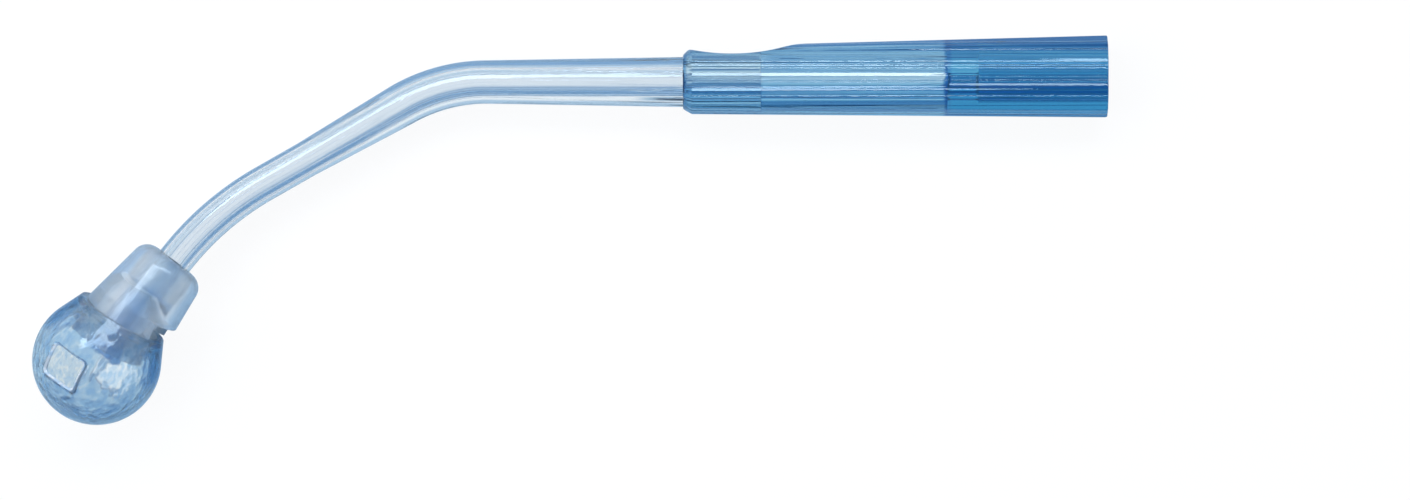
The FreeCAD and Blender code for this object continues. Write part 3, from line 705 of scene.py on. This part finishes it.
def sleeve_resin():
    """Styrene-butadiene resin with little tint, injection moulded in a matt mould. The eye sees a milky
    bell. Its tint across it is painted shade: a bluer middle and bluer sides, with two pale bands along
    it left between them. Its ripples are 1.5 mm wide and 12 mm long, as coarse as they need to be to
    show."""
    # Painted shade: the tints across the bell, bluer in the middle and at the sides, paler in two bands
    return resin("styrene_resin_tip", 9.0, (1.5, 12.0), 0.12, 0.01, 0.2, haze=0.2, mirror="#d4e6f6",
                 bands=((-7.6, "#cfe1f2"), (-5.8, "#eef4fb"), (-4.2, "#ffffff"), (-2.6, "#e4eef8"),
                        (-0.5, "#c2d9ee"), (1.8, "#e0ecf7"), (4.0, "#ffffff"), (5.6, "#f2f8fd"),
                        (7.6, "#d8e6f4")))


def ball_resin():
    """Styrene-butadiene resin with a blue tint, injection moulded in a thin wall. The eye sees a rippled
    blue glass with frosted edges round the eyes, painted a deeper blue at the two sides near the mouth
    as a painted shade. Its ripples are 1.3 mm wide and 2 mm long, as coarse as they need to be to show."""
    # Painted shade: a deeper blue at the ball's two sides near the mouth
    return resin("styrene_resin_ball", 175.0, (1.3, 2.0), 0.13, 0.0, 0.14, haze=0.09, mirror="#c8e0f4",
                 frost=0.5, patch="#d2e6f8", flank_shade="#4f96cc")


def handle_resin():
    """Styrene-butadiene resin with a deeper blue tint, injection moulded and left glossy. The eye sees
    blue glass with streaks along it. Its tint is painted shade that leaves pale the part in front of the
    air chamber and a band above the middle: deeper in the lower half and along the top, dark round the
    nose and at the chamber's end, and deeper in the thick rear, on top of the resin's own deeper colour
    there. The flow lines are 3 mm wide, drawn coarser than the real ones so that they show."""
    # Painted shade: the stops along the handle, in its lower half and across it
    nose, nose_end = 0.4, 0.9
    socket, socket_end = TUBE_SOCKET_DEPTH - 0.2, TUBE_SOCKET_DEPTH + 0.2
    chamber, wall, wall_end, rear = CHAMBER_END - 0.6, CHAMBER_END - 0.3, CHAMBER_END + 0.5, CHAMBER_END + 0.8
    return resin("styrene_resin_blue", 90.0, (3.0, 900.0), 0.25, 0.1, 0.01, haze=0.01, mirror="#d8ecf6",
                 ridge_share=0.06,
                 along=((nose, "#5596cc"), (nose_end, "#f4f9fd"), (chamber, "#ffffff"), (wall, "#86b8de"),
                        (wall_end, "#78b0d8"), (rear, "#94cee6")),
                 low=((nose, "#5596cc"), (nose_end, "#88bfe2"), (socket, "#88bfe2"),
                      (socket_end, "#daeff8"), (chamber, "#daeff8"), (wall, "#7cb0d8"),
                      (wall_end, "#70aed2"), (rear, "#66b4d8")),
                 bands=((-6.4, "#cce6f4"), (-4.8, "#e2f3fa"), (0.2, "#ebf6fb"), (0.7, "#ffffff"),
                        (2.9, "#ffffff"), (3.4, "#dbedf7"), (5.0, "#dbedf7"), (5.8, "#b0d4ec"),
                        (8.4, "#b4d8ee")))


def floor():
    """A plain pale table, just under the part. The camera sees it near white, the resin mirrors it pale
    blue, and light that the resin bends passes it to the studio beyond. It keeps a soft shadow."""
    side, drop, glow_share = 3.0, 0.05 * MM, 0.93
    mesh = bpy.data.meshes.new("floor")
    mesh.from_pydata([(-side, -side, 0), (side, -side, 0), (side, side, 0), (-side, side, 0)], [],
                     [(0, 1, 2, 3)])
    table = bpy.data.objects.new("floor", mesh)
    table.location.z = -drop
    bpy.context.scene.collection.objects.link(table)
    mat = bpy.data.materials.new("floor_pale")
    mat.use_nodes = True
    tree = mat.node_tree
    tree.nodes.clear()
    path = node(tree, "ShaderNodeLightPath").outputs
    seen = node(tree, "ShaderNodeMath", {"operation": "MAXIMUM"}, i0=path["Is Camera Ray"],
                i1=path["Is Glossy Ray"])
    share = node(tree, "ShaderNodeMath", {"operation": "MULTIPLY"}, i0=seen.outputs[0], i1=glow_share)
    diffuse = node(tree, "ShaderNodeBsdfDiffuse", Color=srgb("#f7f8fa"))
    shown = node(tree, "ShaderNodeMix", MIX, i0=path["Is Camera Ray"], i6=srgb("#a9cbe8"), i7=WHITE)
    glow = node(tree, "ShaderNodeEmission", Color=shown.outputs[2], Strength=1.0)
    lit = node(tree, "ShaderNodeMixShader", i0=share.outputs[0], i1=diffuse.outputs[0], i2=glow.outputs[0])
    through = node(tree, "ShaderNodeBsdfTransparent")
    bent = node(tree, "ShaderNodeMixShader", i0=path["Is Transmission Ray"], i1=lit.outputs[0],
                i2=through.outputs[0])
    node(tree, "ShaderNodeOutputMaterial", Surface=bent.outputs[0])
    mesh.materials.append(mat)


def world():
    """Soft studio surroundings. The camera sees white. What the resin mirrors or bends is white
    straight below, with one thin dim ring, dimmer towards the ceiling, and shaded on the near side."""
    shade_from, shade_to = -0.75, -0.1
    scene = bpy.context.scene
    scene.world = bpy.data.worlds.new("studio")
    scene.world.use_nodes = True
    tree = scene.world.node_tree
    tree.nodes.clear()
    path = node(tree, "ShaderNodeLightPath")
    place = node(tree, "ShaderNodeTexCoord")
    split = node(tree, "ShaderNodeSeparateXYZ", Vector=place.outputs["Generated"])
    side = node(tree, "ShaderNodeMapRange", Value=split.outputs["Y"], From_Min=shade_from,
                From_Max=shade_to)
    shade = node(tree, "ShaderNodeMix", MIX, i0=side.outputs["Result"], i6=srgb("#8db5d6"), i7=WHITE)
    levels = tints(tree, split.outputs["Z"], (
        (-1.0, "#ffffff"), (-0.95, "#ffffff"), (-0.93, "#86aacb"), (-0.9, "#86aacb"), (-0.88, "#ffffff"),
        (-0.78, "#ffffff"), (-0.68, "#bcd4e8"), (-0.4, "#c4daec"), (-0.2, "#d9e9f7"), (0.1, "#d9e9f7"),
        (0.35, "#b4d0e6"), (0.6, "#84adcd"), (0.85, "#6c9ac0"), (1.0, "#6c9ac0")))
    lit = node(tree, "ShaderNodeMix", MULTIPLY, i0=1.0, i6=levels, i7=shade.outputs[2])
    around = node(tree, "ShaderNodeBackground", Color=lit.outputs[2], Strength=1.0)
    white = node(tree, "ShaderNodeBackground", Color=WHITE, Strength=1.0)
    mix = node(tree, "ShaderNodeMixShader", i0=path.outputs["Is Camera Ray"], i1=around.outputs[0],
               i2=white.outputs[0])
    node(tree, "ShaderNodeOutputWorld", Surface=mix.outputs[0])


def lamp(name, place, size, power, mirrored):
    """A soft rectangular lamp over the part and aimed at it, which the resin mirrors or not."""
    light = bpy.data.lights.new(name, "AREA")
    light.shape = "RECTANGLE"
    light.size, light.size_y = size
    light.energy = power
    made = bpy.data.objects.new(name, light)
    made.location = place
    made.rotation_euler = (-Vector(place)).to_track_quat("-Z", "Y").to_euler()
    made.visible_glossy, made.visible_transmission = mirrored, False
    bpy.context.scene.collection.objects.link(made)


def camera():
    """A long lens square to the plane of the bends, with the picture's frame and scale."""
    lens, sensor = 200.0, 36.0
    distance = FRAME_WIDTH * MM_PER_PIXEL * MM * lens / sensor
    middle = laid_down([[(FRAME_WIDTH / 2 - ORIGIN_X) * MM_PER_PIXEL,
                         (ORIGIN_Y - FRAME_HEIGHT / 2) * MM_PER_PIXEL, 0.0]])[0]
    origin, up, normal = laid_down([[0, 0, 0], [0, 1, 0], [0, 0, 1]])
    up = (up - origin) / np.linalg.norm(up - origin)
    normal = (normal - origin) / np.linalg.norm(normal - origin)
    data = bpy.data.cameras.new("camera")
    data.lens, data.sensor_width = lens, sensor
    data.clip_start, data.clip_end = 0.01, 20.0
    cam = bpy.data.objects.new("camera", data)
    turn = Matrix((np.cross(up, normal), up, normal)).transposed().to_4x4()
    cam.matrix_world = Matrix.Translation(Vector(middle + normal * distance)) @ turn
    bpy.context.scene.collection.objects.link(cam)
    bpy.context.scene.camera = cam


suction_tube().data.materials.append(tube_resin())
handle().data.materials.append(handle_resin())
tip_sleeve().data.materials.append(sleeve_resin())
tip_ball().data.materials.append(ball_resin())

floor()
world()
# The softbox lights the table and what is hazy or frosted. The resin mirrors the strip as bright lines.
lamp("softbox", (-0.7, 0.1, 0.8), (0.9, 0.6), 7.0, False)
lamp("strip", (0.0, 0.54, 0.72), (1.0, 0.24), 7.0, True)
camera()
scene = bpy.context.scene
scene.view_settings.view_transform = "Standard"
scene.cycles.max_bounces = 40
scene.cycles.transmission_bounces = 40
scene.cycles.glossy_bounces = 8

bpy.context.view_layer.update()
